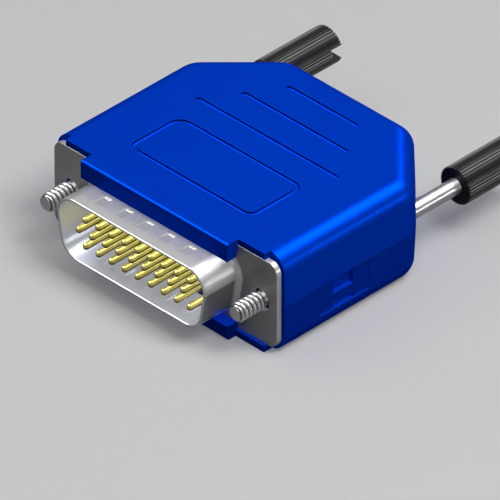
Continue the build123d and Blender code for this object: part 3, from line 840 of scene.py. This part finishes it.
def makeHood(nodeName, name):
    piece = bpy.data.objects.new(name, nodes[nodeName].data.copy())
    bpy.context.scene.collection.objects.link(piece)
    work = bmesh.new()
    work.from_mesh(piece.data)
    bmesh.ops.remove_doubles(work, verts=work.verts, dist=hood["weld"])
    bmesh.ops.dissolve_limit(work, angle_limit=radians(hood["flatAngle"]), verts=work.verts,
                             edges=work.edges)
    shade = work.faces.layers.float.new("shade")
    if nodeName == "upper_hood":
        shapeGrooves(work, shade)
    shadeHoles(work, shade)
    shadeSides(work, shade, hood["sideShade"] if nodeName == "lower_hood" else 0.0)
    work.to_mesh(piece.data)
    work.free()
    bevel = piece.modifiers.new("softEdges", "BEVEL")
    bevel.width = hood["edge"]
    bevel.segments = hood["edgeSteps"]
    bevel.limit_method = "ANGLE"
    bevel.angle_limit = radians(hood["edgeAngle"])
    settle(piece)
    tidyMesh(piece, hood["smoothAngle"], turnOut=False)
    flatten = piece.modifiers.new("flatFaces", "WEIGHTED_NORMAL")
    flatten.keep_sharp = True
    flatten.weight = 100
    settle(piece)
    return piece


dress(makeHood("upper_hood", "upperHood"), hoodPlastic, "plug", ["upper_hood"])
dress(makeHood("lower_hood", "lowerHood"), hoodPlastic, "plug", ["lower_hood"])
print("hood halves made")


# Pieces that keep their CAD shape

kept = {"rear_shell": (shellSteel, "shell_steel"),
        "rear_insulator": (insulatorPlastic, "insulator_plastic"),
        "clamp_upper": (clampSteel, "clamp_steel"), "clamp_lower": (clampSteel, "clamp_steel"),
        "retaining_ring": (screwSteel, "screw_steel"), "clamp_screw": (screwSteel, "screw_steel"),
        "clamp_nut": (screwSteel, "screw_steel")}
for nodeName, node in nodes.items():
    for ending, (material, slotName) in kept.items():
        if nodeName.endswith(ending):
            dress(node, material, None)
print("kept pieces dressed")


# Floor, light and camera

studio = {"floorGrey": 0.62, "floorUneven": 0.01, "floorCloud": 4.0, "floorBounce": 0.06, "floorSize": 3.0,
          "sky": 0.24, "horizon": 0.02, "skyMiddle": 0.72, "backdropLow": 0.22, "backdropHigh": 0.90,
          "backdropFrom": 0.71, "backdropTo": 0.79, "lampTarget": (0, 18 * mm, 0),
          "camera": {"lens": 1000, "sensor": 36, "azimuth": 45, "elevation": 35.264, "width": 62.1 * mm,
                     "target": (4.0 * mm, 10.9 * mm, -4.33 * mm)}}


def looked(board):  # 1 for rays that show the background, in the camera, in metal or through glass
    seen = board.node("ShaderNodeLightPath", output="Is Camera Ray")
    glossy = board.node("ShaderNodeLightPath", output="Is Glossy Ray")
    through = board.node("ShaderNodeLightPath", output="Is Transmission Ray")
    return seen.maths("MAXIMUM", glossy).maths("MAXIMUM", through)


def makeFloor(low):
    half = studio["floorSize"]
    floor = pieceFrom("floor", [(-half, -half, low), (half, -half, low), (half, half, low),
                                (-half, half, low)], [(0, 1, 2, 3)])
    material, board, shader = finishOf("floorPaint", {"Roughness": 0.8, "Specular IOR Level": 0.1})
    place = board.node("ShaderNodeTexCoord", output="Object")
    level, uneven = studio["floorGrey"], studio["floorUneven"]
    tone = board.mix(board.noise(place, studio["floorCloud"]), grey(level - uneven), grey(level + uneven))
    board.feed(shader.inputs["Base Color"], board.mix(looked(board), grey(studio["floorBounce"]), tone))
    floor.data.materials.append(material)


def makeWorld():
    world = bpy.data.worlds.new("studio")
    bpy.context.scene.world = world
    world.use_nodes = True
    board = Board(world.node_tree)
    sky = world.node_tree.nodes["Background"]
    direction = board.node("ShaderNodeTexCoord", output="Generated")
    up = board.apart(direction)[2]
    height = up * 0.5 + 0.5
    low, high = studio["horizon"], studio["sky"]
    shade = board.node("ShaderNodeValToRGB", {"stops": [
        (0.0, grey(low)), (0.5, grey(low)), (studio["skyMiddle"], grey((low + high) / 2)),
        (1.0, grey(high))]}, {0: height})
    low, high = studio["backdropLow"], studio["backdropHigh"]
    wall = board.node("ShaderNodeValToRGB", {"stops": [
        (0.0, grey(low)), (studio["backdropFrom"], grey(low)), (studio["backdropTo"], grey(high)),
        (1.0, grey(high))]}, {0: height})
    board.feed(sky.inputs["Color"], board.mix(looked(board), shade, wall))
    sky.inputs["Strength"].default_value = 1.0


lamps = [
    {"name": "keyLamp", "place": (0.42, 0.10, 0.68), "size": 0.30, "power": 2.9, "shadow": True},
    {"name": "overheadFill", "place": (0.20, -0.02, 0.76), "size": 0.30, "power": 1.9, "shadow": False},
    {"name": "frontLamp", "place": (-0.46, -0.28, 0.60), "size": 0.26, "power": 0.5, "shadow": False},
    {"name": "backGlint", "place": (0.08, 0.465, 0.66), "size": 0.48, "power": 12.0, "glint": True},
    {"name": "cornerGlint", "place": (-0.25, 0.68, 0.36), "size": 0.16, "power": 1.4, "glint": True},
    {"name": "frontGlint", "place": (-0.46, -0.26, 0.60), "size": 0.42, "power": 10.0, "glint": True},
    {"name": "sideGlint", "place": (0.65, 0.48, 0.10), "size": 0.10, "power": 1.2, "glint": True},
]


def makeLamps():
    for lamp in lamps:
        light = bpy.data.lights.new(lamp["name"], "AREA")
        light.size = lamp["size"]
        light.energy = lamp["power"]
        light.use_shadow = lamp.get("shadow", False)
        holder = bpy.data.objects.new(lamp["name"], light)
        holder.visible_diffuse = "glint" not in lamp
        holder.visible_camera = False
        holder.location = lamp["place"]
        aim = Vector(studio["lampTarget"]) - Vector(lamp["place"])
        holder.rotation_euler = aim.to_track_quat("-Z", "Y").to_euler()
        bpy.context.scene.collection.objects.link(holder)


def makeCamera():
    view = studio["camera"]
    camera = bpy.data.cameras.new("camera")
    camera.lens = view["lens"]
    camera.sensor_width = view["sensor"]
    camera.clip_start = 0.1
    camera.clip_end = 20
    holder = bpy.data.objects.new("camera", camera)
    turn, rise = radians(view["azimuth"]), radians(view["elevation"])
    back = Vector((sin(turn) * cos(rise), -cos(turn) * cos(rise), sin(rise)))
    distance = view["width"] * view["lens"] / view["sensor"]
    holder.location = Vector(view["target"]) + back * distance
    holder.rotation_euler = (-back).to_track_quat("-Z", "Y").to_euler()
    bpy.context.scene.collection.objects.link(holder)
    bpy.context.scene.camera = holder


makeFloor(cadBox[0].z)
makeWorld()
makeLamps()
makeCamera()
bpy.context.scene.view_settings.view_transform = "Standard"
print("studio made")
